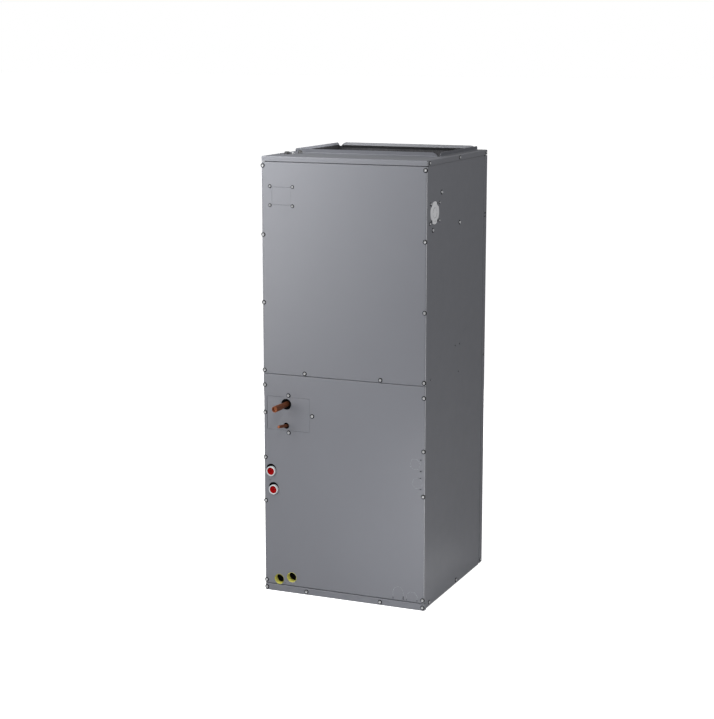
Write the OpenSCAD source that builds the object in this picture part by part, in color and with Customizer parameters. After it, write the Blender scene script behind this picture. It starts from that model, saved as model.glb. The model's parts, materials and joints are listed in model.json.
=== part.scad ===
// Upright sheet-metal air handling unit, multi-position type, shown upflow.
// Air enters through the open base, passes the A-shaped coil and the blower,
// and leaves through the flanged opening in the top cap.
// Lengths in millimetres. Inside cab() x runs 0 (left) to cab_w (right),
// y runs 0 (front face) to cab_d (back) and z runs up from the floor.

/* [Cabinet] */
// Overall width of the cabinet across the front
cab_w = 533; // [500:1:560]
// Overall depth of the cabinet, front face to back face
cab_d = 533; // [525:1:560]
// Height of the top cap's upper face above the floor
cab_h = 1356; // [1340:1:1400]
// Thickness of the folded sheet metal
sheet = 1.2; // [0.8:0.1:1.5]
// Outside radius of the vertical bends of the front panels
bend_r = 5; // [4:0.5:6]
// Depth of the folded returns round the front panels
front_return = 18; // [14:1:18]
// Width of the back panel's wrap onto each side
back_wrap = 26; // [20:1:35]
// Height of the joint between the upper and lower front panels
mid_seam_z = 692.5; // [680:0.5:710]
// Height of the folded rail under the lower front panel
rail_h = 22; // [18:1:22]
// Width of the dark joints between panels
seam = 1.4; // [0.8:0.1:2]
// Height of the side and back panels' lower edges above the floor
skirt_z = 4.4; // [2:0.2:8]

/* [Top cap] */
// Height of the cap's turned-down rim
rim_h = 16; // [12:1:20]
// Distance of the supply opening from each side
open_side = 30; // [26:1:60]
// Distance of the supply opening from the front face
open_front = 175; // [150:1:178]
// Depth of the supply opening, front to back
open_depth = 346; // [320:1:346]
// Height of the upturned duct flanges
flange_h = 12; // [8:1:20]
// Length by which the tops of the front and back flanges are cut back at each corner
flange_cut = 15; // [6:1:18]
// The same for the left and right flanges
flange_side_cut = 10; // [6:1:18]
// How far the flanges lean out at their tops
flange_lean = 2.5; // [0:0.5:5]

/* [Refrigerant connections] */
// Outside diameter of the suction stub at its swaged end
suction_d = 19.05; // [15.9:0.05:22.3]
// Reach of the suction stub in front of the front face
suction_out = 83; // [60:1:100]
// Outside diameter of the liquid stub
liquid_d = 9.53; // [7.9:0.01:9.53]
// Reach of the liquid stub in front of the front face
liquid_out = 54; // [40:1:58]
// Upward slope of the liquid stub in degrees
liquid_tilt = 8; // [0:1:8]

/* [Drains] */
// Outside diameter of the bottom drain sockets
socket_d = 32.4; // [32:0.2:32.6]
// Inside diameter of the bottom drain sockets
socket_bore_d = 30.4; // [28:0.2:30.4]
// Depth of the drain sockets' bores
socket_bore_l = 24; // [18:1:25]
// Outside diameter of the side drain rings
ring_d = 30; // [28:0.5:34]
// Inside diameter of the side drain rings
ring_bore_d = 24; // [20:0.5:25]
// How far the side drain rings stand in front of the face
ring_out = 6; // [4:1:12]

/* [Insides] */
// Thickness of the insulation on the inner walls
liner_t = 12.7; // [10:0.1:12.7]
// Height of the blower deck above the floor
deck_z = 1150; // [1140:1:1160]
// Thickness of one coil slab
slab_t = 50; // [40:1:50]
// Lean of each coil slab from upright in degrees
slab_lean = 18.5; // [17:0.5:18.5]

/* [Hidden] */
$fn = 64;
eps = 0.3;
w = cab_w;
d = cab_d;
h = cab_h;
t = sheet;
// The origin is on the floor, at the middle of the outline with the stubs.
y_off = -(d - suction_out) / 2;
rim_z = h - rim_h;
panel_top = rim_z - seam;
low_z0 = rail_h + seam;
low_z1 = mid_seam_z - seam / 2;
up_z0 = mid_seam_z + seam / 2;
// Side panels stand just inside the rim and the front panels' returns.
side_x = t + eps;
side_y0 = 3;
side_y1 = d - back_wrap - 0.6;
open_x0 = open_side;
open_x1 = w - open_side;
open_y0 = open_front;
open_y1 = open_front + open_depth;
// Gap left at each end of a flange's foot
flange_end = 5;
// Cut-outs in the front panels, with the covers behind them
breaker = [35, 1210.5, 62.5, 54.5];
line_cover = [11.5, 518.5, 144.5, 105];
suction_p = [77, 601];
liquid_p = [76.5, 533.5];
suction_hole_r = 16.5;
liquid_hole_r = 9.6;
// Side drain ports and bottom drain sockets, as [x, z]
side_drain = [[24, 386.5], [32, 328.5]];
side_drain_hole_r = 16.6;
// The panel's holes for the side drain ports are stretched upwards by this much.
side_drain_rise = 5.5;
// The ring sits this far below the centre of the slot's lower arc.
side_drain_drop = 1.2;
socket_p = [[48.5, 39.7], [91.5, 50]];
socket_hole_r = 16.6;
// Blower axis, scroll and wheel
blow_y = 328;
blow_z = 935;
scroll_r = 178;
scroll_w = 268;
scroll_out_y0 = 248;
wheel_r = 125;
// Electrical entry on each side panel, as [y, z]
entry_p = [66, 1200];
entry_r = 34;
cap_screw_y = [21, 276, 520];
cap_screw_out = 2.6;

module cab() { translate([-w / 2, y_off, 0]) children(); }

// Right half drawn as the mirror of the left half.
module flip() { translate([w, 0, 0]) mirror([1, 0, 0]) children(); }

// Block with its two front vertical edges rounded.
module front_block(bw, bd, bh, r) {
    union() {
        translate([r, 0, 0]) cube([bw - 2 * r, bd, bh]);
        translate([0, r, 0]) cube([bw, bd - r, bh]);
        translate([r, r, 0]) cylinder(r = r, h = bh);
        translate([bw - r, r, 0]) cylinder(r = r, h = bh);
    }
}

// Shallow tray of sheet, open at the back, with folded returns all round.
module front_tray(z0, z1) {
    difference() {
        translate([0, 0, z0]) front_block(w, front_return, z1 - z0, bend_r);
        translate([t, t, z0 + t]) front_block(w - 2 * t, front_return, z1 - z0 - 2 * t, bend_r - t);
    }
}

// Round cut along y through a front sheet.
module y_cut(p, r) {
    translate([p[0], -2, p[1]]) rotate([-90, 0, 0]) cylinder(r = r, h = front_return + 4);
}

// Hole for a side drain port, rounded at both ends and taller than it is wide.
module drain_slot(p, r) {
    y_cut(p, r);
    y_cut([p[0], p[1] + side_drain_rise], r);
    translate([p[0] - r, -2, p[1]]) cube([2 * r, front_return + 4, side_drain_rise]);
}

// Quarter bend of sheet in plan, centred on the origin, for x < 0 and y < 0.
module corner_bend(r, bh) {
    difference() {
        cylinder(r = r, h = bh);
        translate([0, 0, -1]) cylinder(r = r - t, h = bh + 2);
        translate([0, -2 * r, -1]) cube([2 * r, 4 * r, bh + 2]);
        translate([-2 * r, 0, -1]) cube([2 * r + 0.001, 2 * r, bh + 2]);
    }
}

// ---- Base ----------------------------------------------------------------

module base_rail_front() { color([0.46, 0.46, 0.48]) cab() front_tray(0, rail_h); }

// Folded angle: upright leg, and a flat foot turned in.
module side_angle() {
    translate([side_x + t + eps, front_return + 1, 0]) union() {
        cube([t, d - front_return - 30, 38]);
        cube([25, d - front_return - 30, t]);
    }
}

module base_rail_left() { color([0.40, 0.40, 0.42]) cab() side_angle(); }
module base_rail_right() { color([0.40, 0.40, 0.42]) cab() flip() side_angle(); }
module base_rail_back() {
    color([0.40, 0.40, 0.42]) cab() union() {
        translate([6, d - 2 * t - eps, 0]) cube([w - 12, t, 24]);
        translate([6, d - t - 25, 0]) cube([w - 12, 25 - t - eps + 0.001, t]);
    }
}

// ---- Casing --------------------------------------------------------------

// Flat side with a flange turned in behind the front panels, notched where
// the panels' upper and lower returns pass.
module side_sheet() {
    r = bend_r - t;
    difference() {
        translate([0, 0, skirt_z]) union() {
            translate([side_x, side_y0 + r, 0]) cube([t, side_y1 - side_y0 - r, h - t - eps - skirt_z]);
            translate([side_x + r, side_y0, low_z0 + 4]) cube([13 - r, t, panel_top - low_z0 - 12]);
            translate([side_x + r, side_y0 + r, low_z0 + 4]) corner_bend(r, panel_top - low_z0 - 12);
        }
        for (z = [[0, low_z0 + t + 0.5], [low_z1 - t - 0.5, up_z0 + t + 0.5], [panel_top - t - 0.5, panel_top + 0.5]])
            translate([-1, -1, z[0]]) cube([20, front_return + 1.5, z[1] - z[0]]);
    }
}

// Side panel, with the flange notched round the drain ports and sockets.
module side_panel_left() {
    difference() {
        side_sheet();
        for (p = side_drain) drain_slot(p, side_drain_hole_r + 1);
        translate([-1, -1, skirt_z + 20]) cube([60, 14, 50]);
    }
}

module left_side_panel() { color([0.36, 0.36, 0.38]) cab() side_panel_left(); }
module right_side_panel() { color([0.36, 0.36, 0.38]) cab() flip() side_sheet(); }

// Back sheet folded round both rear edges onto the sides.
module back_panel() {
    r = 3;
    ph = panel_top - skirt_z;
    color([0.34, 0.34, 0.36]) cab() translate([w, d, skirt_z]) rotate([0, 0, 180]) difference() {
        front_block(w, back_wrap, ph, r);
        translate([t, t, -1]) front_block(w - 2 * t, back_wrap, ph + 2, r - t);
    }
}

module upper_front_panel() {
    color([0.55, 0.55, 0.57]) cab() difference() {
        front_tray(up_z0, panel_top);
        translate([breaker[0], -2, breaker[1]]) cube([breaker[2], 4, breaker[3]]);
    }
}

module lower_front_panel() {
    color([0.48, 0.48, 0.50]) cab() difference() {
        front_tray(low_z0, low_z1);
        translate([line_cover[0], -2, line_cover[1]]) cube([line_cover[2], 4, line_cover[3]]);
        for (p = side_drain) drain_slot(p, side_drain_hole_r);
        for (p = socket_p) y_cut(p, socket_hole_r);
    }
}

// Cross rail behind the joint of the two front panels.
module front_mid_rail() {
    color([0.40, 0.40, 0.42]) cab() translate([20, front_return + 1, mid_seam_z - 14]) union() {
        cube([w - 40, t, 28]);
        cube([w - 40, 12, t]);
    }
}

// ---- Top -----------------------------------------------------------------

module top_cap() {
    r = 3;
    color([0.50, 0.50, 0.52]) cab() difference() {
        translate([0, 0, rim_z]) union() {
            front_block(w, d / 2, rim_h, r);
            translate([w, d, 0]) rotate([0, 0, 180]) front_block(w, d / 2, rim_h, r);
        }
        translate([t, t, rim_z - 1]) union() {
            front_block(w - 2 * t, d / 2 - t, rim_h + 1 - t, r - t);
            translate([w - 2 * t, d - 2 * t, 0]) rotate([0, 0, 180]) front_block(w - 2 * t, d / 2 - t, rim_h + 1 - t, r - t);
        }
        translate([open_x0, open_y0, rim_z]) cube([open_x1 - open_x0, open_depth, rim_h + 5]);
    }
}

// Upturned flange on the edge of the opening. It leans by the given distance
// at its top, and both ends are cut back.
module flange(len, cut, lean) {
    n = flange_end;
    intersection() {
        rotate([90, 0, 90]) linear_extrude(height = len)
            polygon([[-t, 0], [0, 0], [lean, flange_h], [lean - t, flange_h]]);
        translate([0, 20, 0]) rotate([90, 0, 0]) linear_extrude(height = 40)
            polygon([[n, 0], [len - n, 0], [len - n - cut * 0.35, flange_h * 0.55], [len - n - cut, flange_h],
                [n + cut, flange_h], [n + cut * 0.35, flange_h * 0.55]]);
    }
}

module duct_flange_front() { color([0.52, 0.52, 0.54]) cab() translate([open_x0, open_y0, h]) flange(open_x1 - open_x0, flange_cut, -flange_lean); }
module duct_flange_back() { color([0.56, 0.56, 0.58]) cab() translate([open_x0, open_y1 + t, h]) flange(open_x1 - open_x0, flange_cut, flange_lean); }
module duct_flange_left() { color([0.42, 0.42, 0.44]) cab() translate([open_x0 - t, open_y0, h]) rotate([0, 0, 90]) flange(open_depth, flange_side_cut, flange_lean); }
module duct_flange_right() { color([0.40, 0.40, 0.42]) cab() translate([open_x1, open_y0, h]) rotate([0, 0, 90]) flange(open_depth, flange_side_cut, -flange_lean); }

// Domed washer-head screws through the cap's rim on both sides.
module cap_screw() {
    rotate([0, -90, 0]) rotate_extrude() polygon([[0, 0], [6, 0], [6, 0.9], [4.6, 1.2], [4.2, cap_screw_out - 0.4], [3.6, cap_screw_out], [0, cap_screw_out]]);
}

module cap_screws() {
    color([0.7, 0.7, 0.72]) cab() union() {
        for (y = cap_screw_y) translate([0, y, h - rim_h / 2]) cap_screw();
        flip() for (y = cap_screw_y) translate([0, y, h - rim_h / 2]) cap_screw();
    }
}

// ---- Front fittings --------------------------------------------------------

module breaker_cover_plate() {
    color([0.56, 0.56, 0.58]) cab() translate([breaker[0] - 6, t + 0.2, breaker[1] - 8]) cube([breaker[2] + 14, t, breaker[3] + 16]);
}

module line_set_cover_plate() {
    color([0.50, 0.50, 0.52]) cab() difference() {
        translate([line_cover[0] - 6, t + 0.2, line_cover[1] - 12]) cube([line_cover[2] + 18, t, line_cover[3] + 24]);
        y_cut(suction_p, suction_hole_r);
        y_cut(liquid_p, liquid_hole_r);
    }
}

// Copper tube end, spun shut and swaged wider over its last part.
module suction_stub() {
    r1 = suction_d / 2;
    r0 = r1 - 1.6;
    len = suction_out + 32;
    swage = 46;
    color([0.55, 0.27, 0.14]) cab() translate([suction_p[0], 32, suction_p[1]]) rotate([90, 0, 0]) rotate_extrude()
        polygon([[0, 0], [r0, 0], [r0, len - swage - 6], [r1, len - swage], [r1, len - 4], [r1 - 1.2, len - 1.2], [r1 - 4, len], [0, len]]);
}

module liquid_stub() {
    r = liquid_d / 2;
    len = (liquid_out + 22) / cos(liquid_tilt);
    color([0.58, 0.29, 0.15]) cab() translate([liquid_p[0], 0, liquid_p[1]]) rotate([90 - liquid_tilt, 0, 0])
        translate([0, 0, -22 / cos(liquid_tilt)]) rotate_extrude()
            polygon([[0, 0], [r, 0], [r, len - 3], [r - 0.9, len - 0.9], [r - 2.4, len], [0, len]]);
}

// White ring round a side drain port.
module drain_ring(p) {
    difference() {
        translate([p[0], 18, p[1] - side_drain_drop]) rotate([90, 0, 0]) cylinder(d = ring_d, h = 18 + ring_out);
        translate([p[0], 10, p[1] - side_drain_drop]) rotate([90, 0, 0]) cylinder(d = ring_bore_d, h = 30);
    }
}

// Red plug closing a side drain port, seated below the ring's face.
module drain_plug(p) {
    translate([p[0], 10, p[1] - side_drain_drop]) rotate([90, 0, 0]) cylinder(d = ring_bore_d - 0.2, h = 10 + ring_out - 2);
}

module upper_side_drain_ring() { color([0.86, 0.86, 0.86]) cab() drain_ring(side_drain[0]); }
module lower_side_drain_ring() { color([0.86, 0.86, 0.86]) cab() drain_ring(side_drain[1]); }
module upper_side_drain_plug() { color([0.68, 0.10, 0.10]) cab() drain_plug(side_drain[0]); }
module lower_side_drain_plug() { color([0.68, 0.10, 0.10]) cab() drain_plug(side_drain[1]); }

// Open socket on the drain pan, its mouth level with the front face.
module drain_socket(p) {
    difference() {
        translate([p[0], 31.8, p[1]]) rotate([90, 0, 0]) cylinder(d = socket_d, h = 31.8);
        translate([p[0], socket_bore_l, p[1]]) rotate([90, 0, 0]) cylinder(d = socket_bore_d, h = socket_bore_l + 5);
    }
}

module left_drain_socket() { color([0.60, 0.58, 0.20]) cab() drain_socket(socket_p[0]); }
module right_drain_socket() { color([0.60, 0.58, 0.20]) cab() drain_socket(socket_p[1]); }

// Round electrical entry plate, notched at four places.
module entry_plate() {
    difference() {
        translate([0, entry_p[0], entry_p[1]]) rotate([0, 90, 0]) cylinder(r = entry_r, h = side_x);
        for (sy = [-1, 1], sz = [-1, 1])
            translate([-1, entry_p[0] + 33 * sy, entry_p[1] + 33 * sz]) rotate([0, 90, 0]) cylinder(r = 17, h = 4);
    }
}

module left_conduit_plate() { color([0.64, 0.64, 0.65]) cab() entry_plate(); }
module right_conduit_plate() { color([0.64, 0.64, 0.65]) cab() flip() entry_plate(); }

// ---- Insulation ------------------------------------------------------------

liner_x = side_x + t + eps;
liner_y1 = d - t - eps - liner_t;

module side_liner() {
    translate([liner_x, front_return + 1, 40]) cube([liner_t, liner_y1 - front_return - 1.4, h - t - eps - 41]);
}

module liner_left() { color([0.22, 0.22, 0.23]) cab() side_liner(); }
module liner_right() { color([0.22, 0.22, 0.23]) cab() flip() side_liner(); }
module liner_back() {
    color([0.24, 0.24, 0.25]) cab() translate([liner_x + 1, liner_y1, 28]) cube([w - 2 * liner_x - 2, liner_t, h - t - eps - 29]);
}
module liner_front_upper() {
    color([0.22, 0.22, 0.23]) cab() translate([20, 4.6, up_z0 + 3]) cube([w - 40, liner_t, panel_top - up_z0 - 6]);
}
// Insulation behind the lower front panel, kept clear of the fittings.
module liner_front_lower() {
    color([0.22, 0.22, 0.23]) cab() difference() {
        translate([20, 4.6, 90]) cube([w - 40, liner_t, low_z1 - 93]);
        translate([19, 0, 300]) cube([160, 30, 345]);
    }
}

// ---- Blower ----------------------------------------------------------------

deck_x = liner_x + liner_t + 0.4;
scroll_x0 = (w - scroll_w) / 2;
scroll_out_y1 = blow_y + scroll_r;

module blower_deck() {
    color([0.62, 0.63, 0.64]) cab() difference() {
        translate([deck_x, front_return + 1, deck_z]) cube([w - 2 * deck_x, liner_y1 - front_return - 1.4, 1.5]);
        translate([scroll_x0 + 2, scroll_out_y0 + 2, deck_z - 2]) cube([scroll_w - 4, scroll_out_y1 - scroll_out_y0 - 4, 6]);
    }
}

// Flat end of the scroll casing, with its round inlet.
module scroll_side() {
    difference() {
        union() {
            translate([scroll_x0, blow_y, blow_z]) rotate([0, 90, 0]) cylinder(r = scroll_r, h = 1.5);
            translate([scroll_x0, scroll_out_y0, blow_z]) cube([1.5, scroll_out_y1 - scroll_out_y0, deck_z - blow_z]);
        }
        translate([scroll_x0 - 5, blow_y, blow_z]) rotate([0, 90, 0]) cylinder(r = 112, h = 15);
    }
}

// Curved sheet of the scroll, whole ring.
module scroll_ring() {
    translate([scroll_x0 + 1.5, blow_y, blow_z]) rotate([0, 90, 0]) difference() {
        cylinder(r = scroll_r, h = scroll_w - 3);
        translate([0, 0, -1]) cylinder(r = scroll_r - 1.5, h = scroll_w - 1);
    }
}

module blower_side_left() { color([0.62, 0.63, 0.64]) cab() scroll_side(); }
module blower_side_right() { color([0.62, 0.63, 0.64]) cab() flip() scroll_side(); }

// Rear half of the scroll: the lower quarter and the straight wall up to the deck.
module blower_scroll_back() {
    color([0.62, 0.63, 0.64]) cab() union() {
        intersection() {
            scroll_ring();
            translate([scroll_x0, blow_y, blow_z - scroll_r - 1]) cube([scroll_w, scroll_r + 1, scroll_r + 1]);
        }
        translate([scroll_x0 + 1.5, scroll_out_y1 - 1.5, blow_z]) cube([scroll_w - 3, 1.5, deck_z - blow_z]);
    }
}

// Front half of the scroll, up to the cut-off, and the outlet's front wall.
module blower_scroll_front() {
    cut_z = blow_z + sqrt(pow(scroll_r - 1.5, 2) - pow(blow_y - scroll_out_y0, 2));
    color([0.62, 0.63, 0.64]) cab() union() {
        intersection() {
            scroll_ring();
            union() {
                translate([scroll_x0, blow_y - scroll_r - 1, blow_z - scroll_r - 1]) cube([scroll_w, scroll_r + 1, scroll_r + 1]);
                translate([scroll_x0, blow_y - scroll_r - 1, blow_z - 1]) cube([scroll_w, scroll_out_y0 + 1.5 - (blow_y - scroll_r - 1), scroll_r + 2]);
            }
        }
        translate([scroll_x0 + 1.5, scroll_out_y0, cut_z - 0.5]) cube([scroll_w - 3, 1.5, deck_z - cut_z + 0.5]);
    }
}

// Drum wheel: rim of blades as a plain tube, with a middle disc and a hub.
module blower_wheel() {
    color([0.55, 0.56, 0.57]) cab() translate([w / 2, blow_y, blow_z]) rotate([0, 90, 0]) difference() {
        union() {
            difference() {
                translate([0, 0, -118]) cylinder(r = wheel_r, h = 236);
                translate([0, 0, -119]) cylinder(r = wheel_r - 18, h = 238);
            }
            translate([0, 0, -1]) cylinder(r = wheel_r - 10, h = 2);
            translate([0, 0, -14]) cylinder(r = 18, h = 28);
        }
        translate([0, 0, -40]) cylinder(r = 7, h = 80);
    }
}

module blower_motor() {
    color([0.18, 0.18, 0.19]) cab() translate([w / 2, blow_y, blow_z]) rotate([0, 90, 0]) union() {
        translate([0, 0, -190]) cylinder(r = 70, h = 150);
        translate([0, 0, -45]) cylinder(r = 6.35, h = 65);
    }
}

// ---- Coil and drain pan ------------------------------------------------------

slab_y0 = 46;
slab_l = 548;

module slab() {
    translate([40, slab_y0, 47]) rotate([0, slab_lean, 0]) cube([slab_t, 456, slab_l]);
}

module coil_slab_left() { color([0.70, 0.71, 0.72]) cab() slab(); }
module coil_slab_right() { color([0.70, 0.71, 0.72]) cab() flip() slab(); }

// Triangular plate closing one end of the space between the slabs.
module end_plate() {
    rotate([90, 0, 0]) linear_extrude(height = t)
        polygon([[92, 84], [w - 92, 84], [w / 2 + 6, 560], [w / 2 - 6, 560]]);
}

module coil_end_plate_front() { color([0.60, 0.61, 0.62]) cab() translate([0, slab_y0 - 0.4, 0]) end_plate(); }
module coil_end_plate_back() { color([0.60, 0.61, 0.62]) cab() translate([0, slab_y0 + 456.4 + t, 0]) end_plate(); }

// Moulded pan: a channel round a large opening that lets the air through.
module drain_pan() {
    x0 = deck_x + 0.6;
    y0 = 32;
    y1 = liner_y1 - 1;
    z0 = 26;
    z1 = 78;
    pw = 3;
    color([0.16, 0.16, 0.17]) cab() difference() {
        translate([x0, y0, z0]) cube([w - 2 * x0, y1 - y0, z1 - z0]);
        difference() {
            translate([x0 + pw, y0 + pw, z0 + 4]) cube([w - 2 * x0 - 2 * pw, y1 - y0 - 2 * pw, z1]);
            translate([130 - pw, 80 - pw, z0]) cube([w - 260 + 2 * pw, 380 + 2 * pw, z1]);
        }
        translate([130, 80, z0 - 1]) cube([w - 260, 380, z1]);
    }
}

base_rail_front();
base_rail_back();
base_rail_left();
base_rail_right();
left_side_panel();
right_side_panel();
back_panel();
upper_front_panel();
lower_front_panel();
front_mid_rail();
top_cap();
duct_flange_front();
duct_flange_back();
duct_flange_left();
duct_flange_right();
cap_screws();
breaker_cover_plate();
line_set_cover_plate();
suction_stub();
liquid_stub();
upper_side_drain_ring();
lower_side_drain_ring();
upper_side_drain_plug();
lower_side_drain_plug();
left_drain_socket();
right_drain_socket();
left_conduit_plate();
right_conduit_plate();
liner_left();
liner_right();
liner_back();
liner_front_upper();
liner_front_lower();
blower_deck();
blower_side_left();
blower_side_right();
blower_scroll_back();
blower_scroll_front();
blower_wheel();
blower_motor();
coil_slab_left();
coil_slab_right();
coil_end_plate_front();
coil_end_plate_back();
drain_pan();
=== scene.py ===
import json
import math

import bmesh
import bpy
from mathutils import Matrix, Vector, geometry, noise


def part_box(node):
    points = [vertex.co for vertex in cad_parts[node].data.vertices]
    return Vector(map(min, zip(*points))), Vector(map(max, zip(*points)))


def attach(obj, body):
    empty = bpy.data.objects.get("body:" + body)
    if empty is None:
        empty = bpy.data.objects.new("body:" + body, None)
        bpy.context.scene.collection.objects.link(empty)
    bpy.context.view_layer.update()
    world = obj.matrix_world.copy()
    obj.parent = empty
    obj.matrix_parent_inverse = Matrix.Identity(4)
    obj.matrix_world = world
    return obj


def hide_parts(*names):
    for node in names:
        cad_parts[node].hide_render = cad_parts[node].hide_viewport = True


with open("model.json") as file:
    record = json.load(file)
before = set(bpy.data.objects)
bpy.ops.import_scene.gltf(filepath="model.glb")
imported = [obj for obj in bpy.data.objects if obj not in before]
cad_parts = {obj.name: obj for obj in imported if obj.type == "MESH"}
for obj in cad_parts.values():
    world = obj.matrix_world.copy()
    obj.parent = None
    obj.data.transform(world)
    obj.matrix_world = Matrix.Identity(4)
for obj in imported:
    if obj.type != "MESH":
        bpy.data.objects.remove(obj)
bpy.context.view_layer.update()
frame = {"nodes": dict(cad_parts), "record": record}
nodes = frame["nodes"]
scene = bpy.context.scene

# Cabinet frame, millimetres: x 0 (left) to W (right), y 0 (front) to D (back), z up.
W, D, H = 533.0, 533.0, 1356.0
T = 1.2
RIM_Z = 1340.0
MID_Z = 692.5
UP_Z0, UP_Z1 = 693.2, 1338.6
LOW_Z0, LOW_Z1 = 23.4, 691.8
RAIL_H = 22.0
OPEN = (30.0, 175.0, 503.0, 521.0)
FLANGE_H, FLANGE_END = 11.74, 5.0
SUCTION, LIQUID = (77.0, 601.0), (76.5, 533.5)
SIDE_DRAINS = ((24.0, 386.5), (32.0, 328.5))
DRAIN_SLOT_R, DRAIN_SLOT_UP, DRAIN_DROP = 16.6, 5.5, 1.2
SOCKETS = ((48.5, 39.7), (91.5, 50.0))
SOCKET_HOLE_R = 16.6
ENTRY = (66.0, 1200.0)


def P(x, y, z):
    """Cabinet millimetres to the row frame in metres."""
    return ((x - 266.5) * 0.001, (y - 225.0) * 0.001, z * 0.001)


# ---- Materials ---------------------------------------------------------------


def lin(r, g, b):
    """Linear colour of an sRGB triple."""
    return tuple(
        (c / 255 / 12.92 if c / 255 <= 0.04045 else ((c / 255 + 0.055) / 1.055) ** 2.4)
        for c in (r, g, b)
    )


def scaled(c, k):
    return (c[0] * k, c[1] * k, c[2] * k, 1.0)


class Mat:
    """A node material on object coordinates, so that every detail has its real size."""

    def __init__(self, name):
        self.mat = bpy.data.materials.new(name)
        self.mat.use_nodes = True
        self.nt = self.mat.node_tree
        self.bsdf = self.nt.nodes["Principled BSDF"]
        self.coord = self.nt.nodes.new("ShaderNodeTexCoord")

    def node(self, kind):
        return self.nt.nodes.new(kind)

    def link(self, a, b):
        self.nt.links.new(a, b)

    def space(self, stretch=None, turn=None):
        if stretch is None and turn is None:
            return self.coord.outputs["Object"]
        m = self.node("ShaderNodeMapping")
        if stretch is not None:
            m.inputs["Scale"].default_value = stretch
        if turn is not None:
            m.inputs["Rotation"].default_value = turn
        self.link(self.coord.outputs["Object"], m.inputs["Vector"])
        return m.outputs["Vector"]

    def noise(self, scale, detail=3.0, rough=0.55, stretch=None, turn=None, warp=0.0):
        n = self.node("ShaderNodeTexNoise")
        n.inputs["Scale"].default_value = scale
        n.inputs["Detail"].default_value = detail
        n.inputs["Roughness"].default_value = rough
        n.inputs["Distortion"].default_value = warp
        self.link(self.space(stretch, turn), n.inputs["Vector"])
        return n.outputs["Fac"]

    def cells(self, scale, stretch=None, feature="F1"):
        v = self.node("ShaderNodeTexVoronoi")
        v.feature = feature
        v.inputs["Scale"].default_value = scale
        self.link(self.space(stretch), v.inputs["Vector"])
        return v

    def ramp(self, fac, stops):
        r = self.node("ShaderNodeValToRGB")
        el = r.color_ramp.elements
        el[0].position, el[0].color = stops[0]
        el[1].position, el[1].color = stops[-1]
        for p, c in stops[1:-1]:
            e = el.new(p)
            e.color = c
        self.link(fac, r.inputs["Fac"])
        return r.outputs["Color"]

    def spread(self, fac, lo, hi, a=0.3, b=0.7):
        m = self.node("ShaderNodeMapRange")
        m.inputs["From Min"].default_value = a
        m.inputs["From Max"].default_value = b
        m.inputs["To Min"].default_value = lo
        m.inputs["To Max"].default_value = hi
        self.link(fac, m.inputs["Value"])
        return m.outputs["Result"]

    def multiply(self, a, b):
        m = self.node("ShaderNodeMix")
        m.data_type = "RGBA"
        m.blend_type = "MULTIPLY"
        m.inputs["Factor"].default_value = 1.0
        self.link(a, m.inputs["A"])
        self.link(b, m.inputs["B"])
        return m.outputs["Result"]

    def add(self, a, b, k=1.0):
        m = self.node("ShaderNodeMath")
        m.operation = "MULTIPLY_ADD"
        self.link(b, m.inputs[0])
        m.inputs[1].default_value = k
        self.link(a, m.inputs[2])
        return m.outputs["Value"]

    def bump(self, height, strength, distance):
        b = self.node("ShaderNodeBump")
        b.inputs["Strength"].default_value = strength
        b.inputs["Distance"].default_value = distance
        self.link(height, b.inputs["Height"])
        self.link(b.outputs["Normal"], self.bsdf.inputs["Normal"])

    def colour(self, out):
        self.link(out, self.bsdf.inputs["Base Color"])

    def rough(self, out):
        self.link(out, self.bsdf.inputs["Roughness"])

    def set(self, **values):
        for k, v in values.items():
            self.bsdf.inputs[k.replace("_", " ")].default_value = v


def paint(name, base, rough, mottling=0.014):
    """Satin powder paint: faint orange peel, cloudy tone, fine speckle."""
    m = Mat(name)
    cloud = m.ramp(
        m.noise(5.0, 4.0, 0.6, warp=0.4),
        [(0.3, scaled(base, 1.0 - mottling)), (0.7, scaled(base, 1.0 + mottling))],
    )
    speck = m.ramp(
        m.noise(1400.0, 2.0, 0.6),
        [(0.35, (0.96, 0.96, 0.96, 1)), (0.65, (1.0, 1.0, 1.0, 1))],
    )
    m.colour(m.multiply(cloud, speck))
    m.rough(m.spread(m.noise(28.0, 4.0, 0.6), rough - 0.015, rough + 0.02))
    m.bump(m.add(m.noise(420.0, 2.0), m.noise(1500.0, 2.0), 0.35), 0.05, 0.0001)
    m.set(Metallic=0.0, Specular_IOR_Level=0.5)
    return m.mat


def galvanised():
    """Zinc coating with its crystal spangle."""
    m = Mat("galvanised")
    cell = m.cells(95.0, stretch=(1.0, 1.0, 0.8))
    grey = m.node("ShaderNodeSeparateColor")
    m.link(cell.outputs["Color"], grey.inputs["Color"])
    spangle = m.ramp(
        grey.outputs["Red"],
        [
            (0.0, (0.40, 0.415, 0.43, 1)),
            (0.5, (0.50, 0.51, 0.52, 1)),
            (1.0, (0.60, 0.61, 0.615, 1)),
        ],
    )
    haze = m.ramp(
        m.noise(24.0, 5.0, 0.65),
        [(0.3, (0.82, 0.82, 0.82, 1)), (0.7, (1, 1, 1, 1))],
    )
    m.colour(m.multiply(spangle, haze))
    m.rough(m.spread(grey.outputs["Green"], 0.34, 0.52, 0.0, 1.0))
    m.bump(m.add(grey.outputs["Blue"], m.noise(800.0, 2.0), 0.4), 0.06, 0.0002)
    m.set(Metallic=0.85)
    return m.mat


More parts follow.
